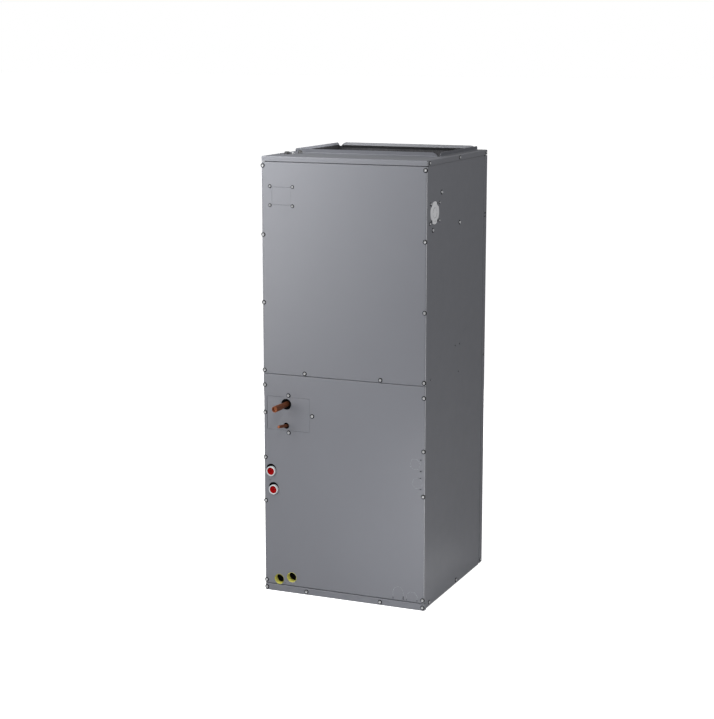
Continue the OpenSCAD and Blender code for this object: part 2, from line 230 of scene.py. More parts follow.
def metal(name, light, dark, rough, scale, stretch, fine, metallic=1.0):
    """Bare metal with drawn streaks and tarnish clouds."""
    m = Mat(name)
    tarnish = m.ramp(
        m.noise(scale, 6.0, 0.62, stretch=stretch, warp=0.6),
        [(0.32, dark + (1,)), (0.68, light + (1,))],
    )
    fleck = m.ramp(
        m.noise(scale * 9, 3.0, 0.6),
        [(0.3, (0.88, 0.88, 0.88, 1)), (0.7, (1, 1, 1, 1))],
    )
    m.colour(m.multiply(tarnish, fleck))
    m.rough(m.spread(m.noise(scale * 2.3, 4.0), rough - 0.06, rough + 0.1))
    m.bump(m.noise(fine, 3.0, 0.6, stretch=stretch), 0.12, 0.00015)
    m.set(Metallic=metallic)
    return m.mat


def plastic(name, base, rough, vary, grain, depth, spec=0.5):
    """Moulded plastic with flow clouds and a fine moulded grain."""
    m = Mat(name)
    flow = m.ramp(
        m.noise(70.0, 4.0, 0.6, warp=0.8),
        [(0.3, scaled(base, 1.0 - vary)), (0.7, scaled(base, 1.0 + vary))],
    )
    fleck = m.ramp(
        m.noise(900.0, 2.0),
        [(0.3, (0.93, 0.93, 0.93, 1)), (0.7, (1, 1, 1, 1))],
    )
    m.colour(m.multiply(flow, fleck))
    m.rough(m.spread(m.noise(160.0, 3.0), rough - 0.05, rough + 0.07))
    m.bump(m.noise(grain, 3.0, 0.6), 0.18, depth)
    m.set(Metallic=0.0, Specular_IOR_Level=spec)
    return m.mat


def fibre():
    """Dark coated glass-fibre board: matted strands and pores."""
    m = Mat("liner")
    strands = m.noise(260.0, 6.0, 0.7, stretch=(1.0, 1.0, 0.35), warp=1.4)
    pores = m.cells(420.0)
    tone = m.ramp(
        strands,
        [(0.3, (0.025, 0.025, 0.027, 1)), (0.55, (0.054, 0.054, 0.058, 1)), (0.75, (0.105, 0.105, 0.112, 1))],
    )
    cloud = m.ramp(m.noise(14.0, 4.0), [(0.3, (0.75, 0.75, 0.75, 1)), (0.7, (1, 1, 1, 1))])
    m.colour(m.multiply(tone, cloud))
    m.rough(m.spread(strands, 0.82, 0.98))
    m.bump(m.add(strands, pores.outputs["Distance"], 0.6), 0.55, 0.0009)
    m.set(Metallic=0.0, Specular_IOR_Level=0.25)
    return m.mat


GREY = lin(95.5, 97.0, 102.5)
MATS = {
    "front_paint": paint("front_paint", GREY, 0.42),
    "casing_paint": paint("casing_paint", GREY, 0.46),
    "galvanised": galvanised(),
    "zinc_screw": metal("zinc_screw", (0.42, 0.425, 0.435), (0.32, 0.325, 0.332), 0.30, 180.0, (1, 1, 1), 1800.0, 0.3),
    "copper": metal("copper", (0.25, 0.081, 0.033), (0.15, 0.050, 0.021), 0.50, 55.0, (1.0, 0.25, 1.0), 900.0, 0.75),
    "white_plastic": plastic("white_plastic", (0.46, 0.485, 0.495), 0.40, 0.03, 700.0, 0.0002),
    "red_plastic": plastic("red_plastic", (0.20, 0.0006, 0.0012), 0.75, 0.10, 600.0, 0.0003, 0.06),
    "yellow_plastic": plastic("yellow_plastic", (0.45, 0.425, 0.088), 0.46, 0.08, 600.0, 0.0003),
    "bare_plate": metal("bare_plate", (0.62, 0.625, 0.64), (0.55, 0.555, 0.57), 0.5, 60.0, (1, 1, 0.4), 900.0, 0.1),
    "liner": fibre(),
    "motor_black": plastic("motor_black", (0.020, 0.020, 0.021), 0.4, 0.15, 500.0, 0.0003),
    "coil_fin": metal("coil_fin", (0.80, 0.81, 0.82), (0.62, 0.63, 0.64), 0.32, 40.0, (1, 1, 1), 700.0),
    "pan_plastic": plastic("pan_plastic", (0.0022, 0.0022, 0.0024), 0.8, 0.2, 500.0, 0.0004, 0.03),
}

slot_of = {s["node"]: s["material_slot"] for s in frame["record"]["subparts"]}
for name, ob in nodes.items():
    mat = MATS[slot_of[name]]
    if ob.material_slots:
        for s in ob.material_slots:
            s.material = mat
    else:
        ob.data.materials.append(mat)


# ---- Mesh helpers --------------------------------------------------------------


def arc(cx, cy, r, a0, a1, n):
    """Points of an arc, angles in degrees, n steps."""
    return [
        (cx + r * math.cos(math.radians(a0 + (a1 - a0) * i / n)), cy + r * math.sin(math.radians(a0 + (a1 - a0) * i / n)))
        for i in range(n + 1)
    ]


def circle(cx, cy, r, n=48):
    return arc(cx, cy, r, 0.0, 360.0, n)[:-1]


def rect(x0, y0, x1, y1, r=0.0, n=5):
    """Rectangle with rounded corners, counter-clockwise."""
    if r <= 0:
        return [(x0, y0), (x1, y0), (x1, y1), (x0, y1)]
    return (
        arc(x0 + r, y0 + r, r, 180, 270, n)
        + arc(x1 - r, y0 + r, r, 270, 360, n)
        + arc(x1 - r, y1 - r, r, 0, 90, n)
        + arc(x0 + r, y1 - r, r, 90, 180, n)
    )


def obround(cx, cy, r, up, n=20):
    """Round hole stretched upwards by up."""
    return arc(cx, cy, r, 180, 360, n) + arc(cx, cy + up, r, 0, 180, n)


def inside(poly, p):
    x, y = p
    hit = False
    for i in range(len(poly)):
        (x0, y0), (x1, y1) = poly[i - 1], poly[i]
        if (y0 > y) != (y1 > y) and x < x0 + (y - y0) * (x1 - x0) / (y1 - y0):
            hit = not hit
    return hit


def offset_path(path, k, closed):
    """The path moved sideways by k."""
    out = []
    n = len(path)
    for i in range(n):
        a = path[i - 1] if closed or i > 0 else path[i]
        b = path[(i + 1) % n] if closed or i < n - 1 else path[i]
        dx, dy = b[0] - a[0], b[1] - a[1]
        length = math.hypot(dx, dy) or 1.0
        out.append((path[i][0] - dy / length * k, path[i][1] + dx / length * k))
    return out


class Groove:
    """Pressed line in a sheet: half width w, depth d (negative for a ridge), along a path."""

    def __init__(self, path, closed=False, w=0.7, d=0.55):
        self.path, self.closed, self.w, self.d = path, closed, w, d


class Sheet:
    """Folded sheet metal, drawn as its outer surface and then given its thickness."""

    def __init__(self):
        self.bm = bmesh.new()

    def face(self, pts):
        self.bm.faces.new([self.bm.verts.new(P(*p)) for p in pts])

    def strip(self, rows):
        for a, b in zip(rows, rows[1:]):
            for i in range(len(a) - 1):
                self.face([a[i], a[i + 1], b[i + 1], b[i]])

    def flat(self, to3d, outer, holes=(), grooves=()):
        pts, depth, edges = [], [], []

        def loop(path, d, closed):
            k, n = len(pts), len(path)
            for i, p in enumerate(path):
                pts.append(Vector(p))
                depth.append(d[i] if isinstance(d, list) else d)
            edges.extend((k + i, k + (i + 1) % n) for i in range(n if closed else n - 1))

        loop(outer, 0.0, True)
        for h in holes:
            loop(h, 0.0, True)
        for g in grooves:
            if g.closed:
                for k, d in ((g.w, 0.0), (0.0, g.d), (-g.w, 0.0)):
                    loop(offset_path(g.path, k, True), d, True)
            else:
                left, right = offset_path(g.path, g.w, False), offset_path(g.path, -g.w, False)
                loop([g.path[0]] + left[1:-1] + [g.path[-1]] + right[-2:0:-1], 0.0, True)
                loop(g.path, [0.0] + [g.d] * (len(g.path) - 2) + [0.0], False)
        vs, _, fs, origin, _, _ = geometry.delaunay_2d_cdt(pts, edges, [], 0, 1e-5)
        made = {}

        def vert(i):
            if i not in made:
                d = max([depth[j] for j in origin[i]], default=0.0)
                made[i] = self.bm.verts.new(P(*to3d(vs[i].x, vs[i].y, d)))
            return made[i]

        for f in fs:
            c = (sum(vs[i].x for i in f) / 3, sum(vs[i].y for i in f) / 3)
            if inside(outer, c) and not any(inside(h, c) for h in holes):
                self.bm.faces.new([vert(i) for i in f])

    def done(self, name, slot, out, replaces=(), thick=T):
        bm = self.bm
        bmesh.ops.remove_doubles(bm, verts=bm.verts, dist=2e-5)
        bmesh.ops.dissolve_degenerate(bm, dist=1e-6, edges=bm.edges)
        bmesh.ops.recalc_face_normals(bm, faces=bm.faces)
        bm.normal_update()
        big = max(bm.faces, key=lambda f: f.calc_area())
        if big.normal.dot(Vector(out)) < 0:
            bmesh.ops.reverse_faces(bm, faces=bm.faces)
        ob = link(name, bm)
        s = ob.modifiers.new("thickness", "SOLIDIFY")
        s.thickness, s.offset, s.use_even_offset = thick * 0.001, -1.0, True
        bake(ob)
        return dress(ob, slot, replaces)


def link(name, bm):
    me = bpy.data.meshes.new(name)
    bm.to_mesh(me)
    bm.free()
    ob = bpy.data.objects.new(name, me)
    scene.collection.objects.link(ob)
    return ob


def bake(ob):
    dg = bpy.context.evaluated_depsgraph_get()
    me = bpy.data.meshes.new_from_object(ob.evaluated_get(dg))
    ob.modifiers.clear()
    old, ob.data = ob.data, me
    bpy.data.meshes.remove(old)
    me.name = ob.name


def dress(ob, slot, replaces=()):
    ob.data.materials.clear()
    ob.data.materials.append(MATS[slot])
    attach(ob, "root")
    if replaces:
        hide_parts(*replaces)
    return ob


def soften(bm, angle=34.0):
    """Smooth shading, kept crisp where faces meet at more than the angle."""
    bm.normal_update()
    for f in bm.faces:
        f.smooth = True
    for e in bm.edges:
        e.smooth = len(e.link_faces) == 2 and e.calc_face_angle(0.0) < math.radians(angle)


def frame_at(origin, axis, up=(0, 0, 1)):
    """Basis with z along axis, at a point given in cabinet millimetres."""
    z = Vector(axis).normalized()
    x = Vector(up).cross(z)
    if x.length < 1e-6:
        x = Vector((1, 0, 0))
    x.normalize()
    y = z.cross(x)
    m = Matrix((x, y, z)).transposed().to_4x4()
    m.translation = Vector(P(*origin))
    return m


def revolve(bm, place, profile, seg=48, shape=None):
    """Adds a turned solid: profile of (radius, height) in mm from one pole to the other."""
    rings = []
    for k, (r, a) in enumerate(profile):
        if r <= 1e-6:
            rings.append([bm.verts.new(place @ Vector((0, 0, a * 0.001)))])
            continue
        ring = []
        for i in range(seg):
            t = 2 * math.pi * i / seg
            q = r if shape is None else shape(k, r, t)
            ring.append(bm.verts.new(place @ Vector((q * math.cos(t) * 0.001, q * math.sin(t) * 0.001, a * 0.001))))
        rings.append(ring)
    for a, b in zip(rings, rings[1:]):
        for i in range(seg):
            j = (i + 1) % seg
            if len(a) == 1 and len(b) == 1:
                continue
            if len(a) == 1:
                bm.faces.new([a[0], b[i], b[j]])
            elif len(b) == 1:
                bm.faces.new([a[i], a[j], b[0]])
            else:
                bm.faces.new([a[i], a[j], b[j], b[i]])


def turned(name, slot, origin, axis, profile, seg=64, replaces=(), shape=None, angle=34.0):
    bm = bmesh.new()
    revolve(bm, frame_at(origin, axis), profile, seg, shape)
    bmesh.ops.recalc_face_normals(bm, faces=bm.faces)
    soften(bm, angle)
    return dress(link(name, bm), slot, replaces)


def box(bm, lo, hi):
    """Adds a block between two corners, in cabinet millimetres."""
    v = [
        bm.verts.new(P(x, y, z))
        for x in (lo[0], hi[0])
        for y in (lo[1], hi[1])
        for z in (lo[2], hi[2])
    ]
    for f in ((0, 1, 3, 2), (4, 6, 7, 5), (0, 4, 5, 1), (2, 3, 7, 6), (0, 2, 6, 4), (1, 5, 7, 3)):
        bm.faces.new([v[i] for i in f])


def hairline(bm, to3d, path, wide, closed=False, proud=0.1):
    """Adds a thin raised line along a path, as wide as given."""
    rows = []
    for k, d in ((0.5, 0.1), (0.3, -proud), (-0.3, -proud), (-0.5, 0.1)):
        rows.append([bm.verts.new(P(*to3d(u, v, d))) for u, v in offset_path(path, wide * k, closed)])
    n = len(path)
    for ra, rb in zip(rows, rows[1:] + rows[:1]):
        for i in range(n if closed else n - 1):
            j = (i + 1) % n
            bm.faces.new([ra[i], ra[j], rb[j], rb[i]])
    if not closed:
        for i in (0, n - 1):
            bm.faces.new([r[i] for r in rows])


# ---- Front panels and rail ----------------------------------------------------------


def tray(z0, z1, name, node, holes=(), grooves=(), notch=None):
    """Front cover with a rounded fold at each side and narrow returns above and below."""
    s = Sheet()
    r, rb, gap, deep = 5.0, 1.6, 7.0, 18.0
    low = [(r, z0), (gap, z0), (gap, z0 + rb)]
    spans = [(gap, W - gap)]
    if notch is not None:
        cx, cz, cr = notch
        half = math.sqrt(cr * cr - (cz - z0) ** 2)
        a = math.degrees(math.asin((z0 - cz) / cr))
        low += [(cx - 10.5, z0 + rb), (cx - 10.5, z0)]
        low += arc(cx, cz, cr, 180 - a, a, 40)
        low += [(cx + 10.5, z0), (cx + 10.5, z0 + rb)]
        spans = [(gap, cx - 10.5), (cx + 10.5, W - gap)]
    low += [(W - gap, z0 + rb), (W - gap, z0), (W - r, z0)]
    high = [(W - r, z1), (W - gap, z1), (W - gap, z1 - rb), (gap, z1 - rb), (gap, z1), (r, z1)]
    s.flat(lambda u, v, d: (u, d, v), low + high, holes, grooves)
    fold = arc(r, r, r, 270, 180, 10) + [(0.0, deep)]
    for flip in (False, True):
        rows = [[((W - x) if flip else x, y, z) for z in (z0, z1)] for x, y in fold]
        s.strip(rows)
    turn = arc(rb, rb, rb, 180, 270, 5) + [(deep, 0.0)]
    for xa, xb in spans:
        s.strip([[(x, y, z0 + k) for x in (xa, xb)] for y, k in turn])
    s.strip([[(x, y, z1 - k) for x in (gap, W - gap)] for y, k in turn])
    return s.done(name, "front_paint", (0, -1, 0), (node,))


def arch(cx, top, r, foot):
    """Arched line with two legs."""
    legs = [(cx - r, foot + (top - r - foot) * k / 4) for k in range(4)]
    right = [(cx + r, p[1]) for p in reversed(legs)]
    return legs + arc(cx, top - r, r, 180, 0, 24) + right


def slit(x, z, lx, lz):
    return rect(x - lx / 2, z - lz / 2, x + lx / 2, z + lz / 2, min(lx, lz) * 0.4, 3)


tray(
    UP_Z0, UP_Z1, "upper_front_cover", "upper_front_panel",
    holes=[rect(35.0, 1210.5, 97.5, 1265.0, 1.6)],
)
lower_holes = [rect(11.5, 518.5, 156.0, 623.5, 2.0)]
lower_holes += [obround(x, z, DRAIN_SLOT_R, DRAIN_SLOT_UP) for x, z in SIDE_DRAINS]
lower_holes += [circle(SOCKETS[1][0], SOCKETS[1][1], SOCKET_HOLE_R)]
lower_holes += [slit(520.5, z, 8.0, 2.8) for z in (468.5, 434.0)]
for z in (412.5, 378.5):
    lower_holes += [slit(519.5, z, 6.5, 2.4), slit(511.8, z + 0.3, 3.4, 1.3), slit(527.0, z - 0.8, 3.4, 1.3)]
lower_holes += [slit(432.0, 29.5, 2.2, 6.5), slit(465.2, 32.5, 2.4, 12.0), slit(476.0, 28.6, 2.0, 4.6), slit(510.0, 29.0, 2.4, 5.6)]
lower_holes += [slit(20.0, 357.8, 9.0, 1.4), slit(69.3, 30.5, 1.6, 7.0)]
tray(
    LOW_Z0, LOW_Z1, "lower_front_cover", "lower_front_panel",
    holes=lower_holes,
    notch=(SOCKETS[0][0], SOCKETS[0][1], SOCKET_HOLE_R),
)
tray(0.0, RAIL_H - 0.6, "front_base_rail", "base_rail_front")

# Scored outlines of the knockouts: hairlines that show bright metal.
score = bmesh.new()
for line, closed in (
    (circle(501.5, 453.8, 16.2, 56), True),
    (circle(509.0, 395.8, 15.6, 56), True),
    (arch(448.6, 66.0, 16.6, 36.0), False),
    (arch(493.0, 55.3, 17.0, 33.5), False),
):
    hairline(score, lambda u, v, d: (u, d, v), line, 0.13 if closed else 0.19, closed)
bmesh.ops.recalc_face_normals(score, faces=score.faces)
dress(link("knockout_scores", score), "bare_plate")

# Painted highlight along the outer folds of the front panels, rail and cap rim: thin bare-metal strips on each fold.
fold_glint_mesh = bmesh.new()
for za, zb in ((0.4, RAIL_H - 1.4), (LOW_Z0 + 1.0, LOW_Z1 - 1.0), (UP_Z0 + 1.0, UP_Z1 - 1.0), (RIM_Z + 1.6, H - 3.4)):
    for flip in (False, True):
        def on_fold(u, v, d):
            x, y = W - 0.879 + 0.707 * (u - d), 0.879 + 0.707 * (u + d)
            return (W - x if flip else x, y, v)
        hairline(fold_glint_mesh, on_fold, [(0.0, za), (0.0, zb)], 0.75, False, 0.1)
bmesh.ops.recalc_face_normals(fold_glint_mesh, faces=fold_glint_mesh.faces)
dress(link("fold_highlights", fold_glint_mesh), "bare_plate")

# Black strip behind the feet of the arched knockouts: painted shade behind their slits.
s = Sheet()
s.flat(lambda u, v, d: (u, 2.4 + d, v), rect(422.0, 25.8, 520.0, 44.0, 2.0))
s.done("knockout_slit_shade", "pan_plastic", (0, -1, 0), (), 4.0)


def cover(name, node, outer, opening, gaps, holes=()):
    """Cover plate behind a cut-out, with a pressed pad that fills it almost flush."""
    s = Sheet()
    x0, z0, x1, z1 = opening
    gl, gb, gr, gt = gaps
    pad = rect(x0 + gl, z0 + gb, x1 - gr, z1 - gt, 1.6)
    foot = rect(x0 + gl * 0.7, z0 + gb * 0.7, x1 - gr * 0.7, z1 - gt * 0.7, 1.8)
    s.flat(lambda u, v, d: (u, 0.12 + d, v), pad, holes)
    s.strip([[(x, y, z) for x, z in path + path[:1]] for path, y in ((pad, 0.12), (foot, 1.4))])
    s.flat(lambda u, v, d: (u, 1.4 + d, v), rect(*outer, 2.0), [foot])
    return s.done(name, "front_paint", (0, -1, 0), (node,))


cover("breaker_cover", "breaker_cover_plate", (29.0, 1202.5, 105.5, 1273.0), (35.0, 1210.5, 97.5, 1265.0), (0.3, 0.9, 0.3, 0.9))
cover(
    "line_set_cover", "line_set_cover_plate", (5.5, 506.5, 168.0, 635.5), (11.5, 518.5, 156.0, 623.5), (1.3, 0.6, 0.4, 0.6),
    [circle(SUCTION[0], SUCTION[1], 17.0, 56), circle(LIQUID[0], LIQUID[1], 9.6, 40)],
)

# Black hairlines round the line-set cut-out, widest along its left edge: painted shade in the gap round the cover pad.
gap_shade_lines = bmesh.new()
hairline(gap_shade_lines, lambda u, v, d: (u, 0.9 + d, v), [(11.95, 519.5), (11.95, 622.5)], 0.8)
for path in ([(12.6, 518.78), (155.4, 518.78)], [(12.6, 623.22), (155.4, 623.22)], [(155.85, 519.5), (155.85, 622.5)]):
    hairline(gap_shade_lines, lambda u, v, d: (u, 0.9 + d, v), path, 0.13)
bmesh.ops.recalc_face_normals(gap_shade_lines, faces=gap_shade_lines.faces)
dress(link("line_set_gap_shade", gap_shade_lines), "pan_plastic")

# ---- Sides and back ---------------------------------------------------------------------


def side(name, node, right):
    s = Sheet()
    xo = W - 1.5 if right else 1.5
    inn = -1.0 if right else 1.0

    def to3d(u, v, d):
        return (xo + inn * d, u, v)

    za, zb, r, y0, zs = 4.4, 1354.4, 3.8, 3.0, UP_Z1 - 2.0
    bands = [(80.0, LOW_Z1 - 3.0), (UP_Z0 + 3.0, UP_Z1 - 4.0)]
    if not right:
        bands = [(80.0, 300.0), (420.0, LOW_Z1 - 3.0), (UP_Z0 + 3.0, UP_Z1 - 4.0)]
    edge = [z for b in reversed(bands) for z in reversed(b)]
    outer = (
        [(18.6, za), (507.2, za), (507.2, zs), (19.0, zs), (y0 + r, zs)]
        + [(y0 + r, z) for z in edge]
        + [(y0 + r, LOW_Z0 + 4.0), (18.6, LOW_Z0 + 4.0)]
    )
    cy, cz = ENTRY
    holes = [circle(cy + 25.0 * i, cz + 24.5 * k, 5.2, 28) for i in (-1, 1) for k in (-1, 1)]
    holes += [circle(y, z, 3.2, 18) for y, z in ((257.0, 773.0), (295.0, 773.0), (286.0, 687.0))]
    s.flat(to3d, outer, holes)
    joggle = [(zs, 0.0), (zs + 0.4, 0.1), (zs + 0.9, 0.4), (zs + 1.5, 0.6), (zb, 0.6)]
    s.strip([[to3d(y, z, d) for y in (19.0, 507.2)] for z, d in joggle])
    fold = arc(r, r, r, 180, 270, 6) + [(13.0, 0.0)]
    for z0, z1 in bands:
        s.strip([[(xo + inn * x, y0 + y, z) for z in (z0, z1)] for x, y in fold])
    return s.done(name, "casing_paint", (-inn, 0, 0), (node,))


side("right_casing_side", "right_side_panel", True)
side("left_casing_side", "left_side_panel", False)

s = Sheet()
bz0, bz1, br, wrap = 4.4, 1338.6, 3.0, 507.0
s.flat(lambda u, v, d: (u, D - d, v), rect(br, bz0, W - br, bz1))
for flip in (False, True):
    xs = (lambda x: W - x) if flip else (lambda x: x)
    marks = [slit(516.5, 1157.5, 13.0, 4.4), slit(516.5, 1146.5, 13.0, 4.4), slit(518.5, 700.5, 12.0, 4.4)]
    s.flat(lambda u, v, d: (xs(d), u, v), rect(wrap + 1.2, bz0, D - br, bz1), marks)
    s.strip([[(xs(x), y, z) for z in (bz0, bz1)] for x, y in arc(1.3, wrap + 1.2, 1.3, 180, 270, 4)])
    s.strip([[(xs(x), y, z) for z in (bz0, bz1)] for x, y in arc(br, D - br, br, 180, 90, 6)])
s.done("back_casing", "casing_paint", (0, 1, 0), ("back_panel",))

# ---- Top cap and duct flanges ----------------------------------------------------------

TOP_R, FOOT_R = 3.0, 1.5
x0, y0, x1, y1 = OPEN
b = T + FOOT_R
hole = [
    (x0, y0 - b), (x1, y0 - b), (x1, y0), (x1 + b, y0), (x1 + b, y1), (x1, y1),
    (x1, y1 + b), (x0, y1 + b), (x0, y1), (x0 - b, y1), (x0 - b, y0), (x0, y0),
]
s = Sheet()
s.flat(lambda u, v, d: (u, v, H - d), rect(TOP_R, TOP_R, W - TOP_R, D - TOP_R), [hole])


def rim_loop(inset, z):
    r = max(TOP_R - inset, 0.0)
    pts = []
    for cx, cy, a in ((TOP_R, TOP_R, 180), (W - TOP_R, TOP_R, 270), (W - TOP_R, D - TOP_R, 0), (TOP_R, D - TOP_R, 90)):
        pts += [(x, y, z) for x, y in arc(cx, cy, r, a, a + 90, 5)]
    return pts + [pts[0]]


rows = [
    rim_loop(TOP_R - TOP_R * math.sin(math.radians(a)), H - TOP_R + TOP_R * math.cos(math.radians(a)))
    for a in (0, 15, 30, 45, 60, 75, 90)
]
s.strip(rows + [rim_loop(0.0, RIM_Z + 0.8)])
s.done("top_cap_sheet", "casing_paint", (0, 0, 1), ("top_cap",))


def flange(name, node, length, cut, to3d, out):
    """Upturned flange that leans out a little, with a small fold at its foot and shouldered ends."""
    s = Sheet()
    foot = [(-b + FOOT_R * math.sin(math.radians(a)), FOOT_R - FOOT_R * math.cos(math.radians(a))) for a in range(0, 103, 17)]
    n = FLANGE_END
    s.strip([[to3d(u, q, H + k) for u in (n, length - n)] for q, k in foot])
    qf, kf = foot[-1]
    slope = math.tan(math.radians(12.0))
    shoulder = []
    for i in range(13):
        w = i / 12
        shoulder.append((
            2 * (1 - w) * w * cut * 0.36 + w * w * cut,
            (1 - w) ** 2 * kf + 2 * (1 - w) * w * FLANGE_H * 0.85 + w * w * FLANGE_H,
        ))
    outline = [(length - n - u, k) for u, k in shoulder] + [(n + u, k) for u, k in reversed(shoulder)]
    s.flat(lambda u, v, d: to3d(u, qf - (v - kf) * slope, H + v), outline)
    return s.done(name, "casing_paint", out, (node,))


flange("supply_flange_front", "duct_flange_front", x1 - x0, 15.0, lambda u, q, z: (x0 + u, y0 + q, z), (0, -1, 0))
flange("supply_flange_back", "duct_flange_back", x1 - x0, 15.0, lambda u, q, z: (x0 + u, y1 - q, z), (0, 1, 0))
flange("supply_flange_left", "duct_flange_left", y1 - y0, 10.0, lambda u, q, z: (x0 + q, y0 + u, z), (-1, 0, 0))
flange("supply_flange_right", "duct_flange_right", y1 - y0, 10.0, lambda u, q, z: (x1 - q, y0 + u, z), (1, 0, 0))

# ---- Screws ------------------------------------------------------------------------------


def screw(bm, at, normal, r=6.4, h=2.9, turn=0.0):
    """Round screw head with a dished face and a six-sided drive at its middle."""
    place = frame_at(at, normal) @ Matrix.Rotation(math.radians(turn), 4, "Z")
    profile = [(0.0, -1.6), (r * 0.8, -1.6), (r, -1.5), (r, h - 1.0), (r - 0.2, h - 0.35), (r - 0.6, h), (r - 1.0, h - 0.15)]
    profile += [(r * 0.68, h - 1.0), (r * 0.5, h - 1.7), (r * 0.34, h - 2.05), (r * 0.28, h - 2.1), (r * 0.24, h - 2.5), (0.0, h - 2.6)]

    def shape(k, q, t):
        if k in (10, 11):
            return q / math.cos((t % (math.pi / 3)) - math.pi / 6) * 0.93
        return q

    revolve(bm, place, profile, 24, shape)


def shade_washer(bm, at, normal, r):
    """Thin black ring with rounded edges under a screw head: painted shade round the head."""
    revolve(bm, frame_at(at, normal), [
        (r * 0.5, -1.0), (r - 0.3, -1.0), (r - 0.1, -0.8), (r, -0.5), (r, 0.4), (r - 0.15, 0.7), (r - 0.4, 0.85), (r * 0.5, 0.9), (r * 0.5, -1.0),
    ], 28)


def screws(name, spots, replaces=()):
    bm, shade_mesh = bmesh.new(), bmesh.new()
    for i, spot in enumerate(spots):
        at, normal = spot[0], spot[1]
        r, h = (spot[2], spot[3]) if len(spot) > 2 else (6.8, 2.9)
        screw(bm, at, normal, r * 0.62, h, (i * 37) % 60)
        # Black ring under each head: painted shade round it.
        shade_washer(shade_mesh, at, normal, r)
    for mesh in (bm, shade_mesh):
        bmesh.ops.recalc_face_normals(mesh, faces=mesh.faces)
        soften(mesh, 40.0)
    dress(link(name + "_shade_rings", shade_mesh), "pan_plastic")
    return dress(link(name, bm), "zinc_screw", replaces)


FRONT, RIGHT, LEFT, UP = (0, -1, 0), (1, 0, 0), (-1, 0, 0), (0, 0, 1)
LX, RX = 5.0, 527.8
front = [((LX, 0, z), FRONT) for z in (1327.7, 1119.8, 912.5, 703.0, 656.9, 570.7, 428.3, 289.6, 33.0)]
front += [((RX, 0, z), FRONT) for z in (1328.4, 1120.8, 912.0, 703.0, 657.0, 494.8, 356.4, 33.0)]
front += [((x, 0, 9.8), FRONT) for x in (6.0, 141.6, 389.0, 527.6)]
front += [((x, 0, 701.0), FRONT) for x in (140.0, 388.5)]
front += [((x, 0, z), FRONT, 5.4, 2.7) for x, z in ((28.3, 1266.2), (103.0, 1266.0), (28.0, 1209.0), (103.0, 1208.6))]
front += [((x, 0, z), FRONT) for x, z in ((84.9, 628.9), (164.0, 570.7), (84.9, 512.2))]
screws("front_screws", front)
for name, x, normal in (("right_side_screws", W - 1.5, RIGHT), ("left_side_screws", 1.5, LEFT)):
    spots = [((x, y, z), normal) for y, z in ((124.0, 1256.0), (53.0, 1150.0), (283.0, 1151.0), (46.0, 14.4), (285.0, 13.4))]
    spots += [((x, y, z), normal, 5.0, 2.6) for y, z in ((107.5, 1226.5), (106.5, 1174.0), (33.0, 1228.0), (29.0, 1171.0))]
    wx = W if x > 100 else 0.0
    spots += [((wx, 515.5, 14.4), normal, 5.6, 2.4), ((x, 47.0, 704.0), normal, 2.4, 2.4)]
    screws(name, spots)
cap = [((W if right else 0.0, y, 1348.0), RIGHT if right else LEFT, 5.9, 2.6) for right in (False, True) for y in (21.0, 276.0, 520.0)]
screws("cap_rim_screws", cap, ("cap_screws",))
screws("top_plate_screws", [((52.0, 114.0, H), UP, 5.6, 4.2), ((15.0, 96.0, H), UP, 5.0, 3.0)])

# Two flanged bushings in the wiring holes at the front left of the top.
for k, (bx, by, q, h) in enumerate(((36.0, 106.0, 10.5, 7.5), (61.0, 147.0, 8.5, 8.5))):
    turned(
        "top_bushing_%d" % (k + 1), "motor_black", (bx, by, H), UP,
        [(0, -6), (q * 0.6, -6), (q * 0.7, 0), (q, 0), (q, 0.9), (q * 0.95, 1.5), (q * 0.8, 1.8), (q * 0.76, 2.4)]
        + [(q * 0.76, h - 2.0), (q * 0.72, h - 0.8), (q * 0.62, h), (q * 0.52, h - 0.2), (q * 0.44, h - 1.4), (q * 0.38, h - 2.6), (0, h - 2.9)],
        48,
    )

# ---- Refrigerant stubs ----------------------------------------------------------------------

R1 = 19.05 / 2
R0 = R1 - 1.6
turned(
    "suction_tube", "copper", (SUCTION[0], 32.0, SUCTION[1]), FRONT,
    [(0, 0), (R0, 0), (R0, 62), (R0 + 0.2, 64), (R0 + 0.9, 67), (R1 - 0.15, 69.5), (R1, 71), (R1, 108)]
    + [(R1 - 1.7 + 1.7 * math.cos(math.radians(a)), 112.9 + 1.7 * math.sin(math.radians(a))) for a in (0, 15, 30, 45, 60, 75, 90)]
    + [(R1 - 2.5, 114.3), (R1 - 3.1, 113.4), (R1 - 3.5, 110.4), (R1 - 4.4, 109.2), (2.0, 108.8), (0, 108.8)],
    64, ("suction_stub",),
)
tilt = math.radians(8.0)
RL = 9.53 / 2
LEN = 76.0 / math.cos(tilt)
axis = Vector((0, -math.cos(tilt), math.sin(tilt)))
back = Vector((LIQUID[0], 0, LIQUID[1])) - axis * (22.0 / math.cos(tilt))
turned(
    "liquid_tube", "copper", tuple(back), axis,
    [(0, 0), (RL, 0), (RL, LEN - 15), (RL - 0.35, LEN - 13.6), (RL - 0.35, LEN - 12.6), (RL, LEN - 11), (RL, LEN - 2.9)]
    + [(RL - 2.5 + 2.5 * math.cos(math.radians(a)), LEN - 2.6 + 2.5 * math.sin(math.radians(a))) for a in (0, 18, 36, 54, 72, 86)]
    + [(1.4, LEN - 0.1), (0.7, LEN - 0.5), (0, LEN - 0.6)],
    48, ("liquid_stub",),
)
# Foam grommets that seal the two tube holes from behind.
for name, (gx, gz), hole_r, tube_r in (("suction_grommet", SUCTION, 19.5, R0 + 0.5), ("liquid_grommet", LIQUID, 12.5, RL + 1.2)):
    turned(
        name, "pan_plastic", (gx, 12.0, gz), FRONT,
        [(tube_r, 0), (hole_r, 0), (hole_r, 8.6), (hole_r - 0.6, 9.2), (tube_r + 5.0, 9.2), (tube_r + 2.0, 6.0), (tube_r, 5.0), (tube_r, 0)], 48,
    )

# ---- Side drains and drain sockets ---------------------------------------------------------------

